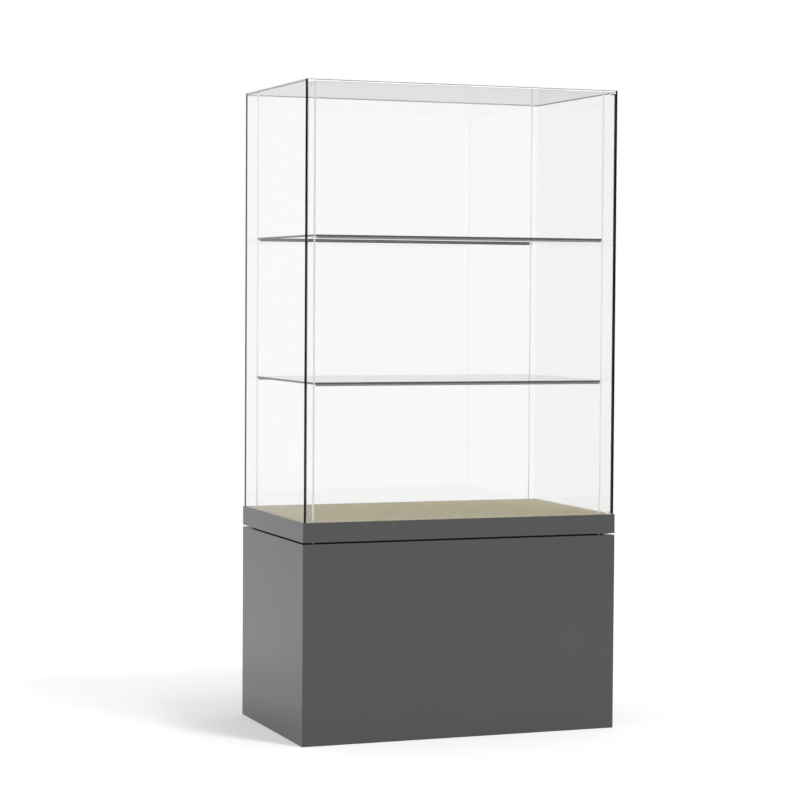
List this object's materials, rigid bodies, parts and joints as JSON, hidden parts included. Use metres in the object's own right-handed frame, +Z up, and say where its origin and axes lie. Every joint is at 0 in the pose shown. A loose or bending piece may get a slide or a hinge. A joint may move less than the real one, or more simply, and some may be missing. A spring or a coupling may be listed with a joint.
{
  "type": "pedestal display case",
  "caption": "Tall pedestal display case with a plain plinth, shadow gap, collar with a deck, and a glass case with a door and shelves on thin rods.",
  "frame": {"origin": "centre of the footprint, on the floor", "axes": "+Z up along the height, -Y towards the front, +X to the viewer's right"},
  "size_m": [1, 0.59, 1.937],
  "materials": {
    "lacquer": "satin grey lacquer on board",
    "core_board": "raw board",
    "black_board": "matt black",
    "deck_covering": "matt beige laminate",
    "glass": "polished clear glass",
    "clear_plastic": "clear plastic",
    "seal": "black",
    "brass": "machined",
    "nylon": "moulded",
    "satin_steel": "satin",
    "zinc_steel": "zinc plated"
  },
  "bodies": {
    "case": {"plinth_front_panel": "lacquer", "plinth_left_panel": "lacquer", "plinth_right_panel": "lacquer", "plinth_base_board": "core_board", "plinth_top_board": "core_board", "plinth_cleats": "core_board", "plinth_rear_stile": "core_board", "pivot_bushes": "brass", "gap_spacer": "black_board", "collar_front_rail": "lacquer", "collar_rear_rail": "lacquer", "collar_left_rail": "lacquer", "collar_right_rail": "lacquer", "collar_base_board": "core_board", "collar_battens": "core_board", "deck_board": "core_board", "deck_sheet": "deck_covering", "case_bolts": "zinc_steel", "case_nuts": "zinc_steel", "post_front_left": "satin_steel", "post_front_right": "satin_steel", "post_rear_left": "satin_steel", "post_rear_right": "satin_steel", "post_nuts": "satin_steel", "post_washers": "satin_steel", "post_pads": "clear_plastic", "shelf_collars_upper": "satin_steel", "shelf_collars_lower": "satin_steel", "shelf_bars_upper": "satin_steel", "shelf_bars_lower": "satin_steel", "shelf_upper": "glass", "shelf_lower": "glass", "pane_left": "glass", "pane_right": "glass", "pane_rear": "glass", "pane_top": "glass", "glass_door_stops": "clear_plastic", "glass_door_pivot_top": "zinc_steel", "glass_door_pivot_bottom": "zinc_steel", "glass_door_washer": "nylon"},
    "glass_door": {"glass_door": "glass", "glass_door_seal": "seal"},
    "plinth_door_left": {"plinth_door_left": "lacquer", "door_pins_left": "zinc_steel", "lock_body_left": "zinc_steel", "lock_nut_left": "brass"},
    "plinth_door_right": {"plinth_door_right": "lacquer", "door_pins_right": "zinc_steel", "lock_body_right": "zinc_steel", "lock_nut_right": "brass"},
    "lock_left": {"lock_plug_left": "brass", "lock_cam_left": "zinc_steel"},
    "lock_right": {"lock_plug_right": "brass", "lock_cam_right": "zinc_steel"}
  },
  "joints": [
    {"name": "glass_door_hinge", "type": "hinge", "parent": "case", "child": "glass_door", "pos_m": [-0.4803, -0.2883, 0.654], "axis": [0, 0, -1], "range_deg": [0, 110]},
    {"name": "plinth_door_left_hinge", "type": "hinge", "parent": "case", "child": "plinth_door_left", "pos_m": [-0.458, 0.2825, 0.022], "axis": [0, 0, 1], "range_deg": [0, 110]},
    {"name": "plinth_door_right_hinge", "type": "hinge", "parent": "case", "child": "plinth_door_right", "pos_m": [0.458, 0.2825, 0.022], "axis": [0, 0, -1], "range_deg": [0, 110]},
    {"name": "lock_left_turn", "type": "hinge", "parent": "plinth_door_left", "child": "lock_left", "pos_m": [-0.05, 0.2495, 0.33], "axis": [0, 1, 0], "range_deg": [-90, 0]},
    {"name": "lock_right_turn", "type": "hinge", "parent": "plinth_door_right", "child": "lock_right", "pos_m": [0.05, 0.2495, 0.33], "axis": [0, -1, 0], "range_deg": [-90, 0]}
  ]
}
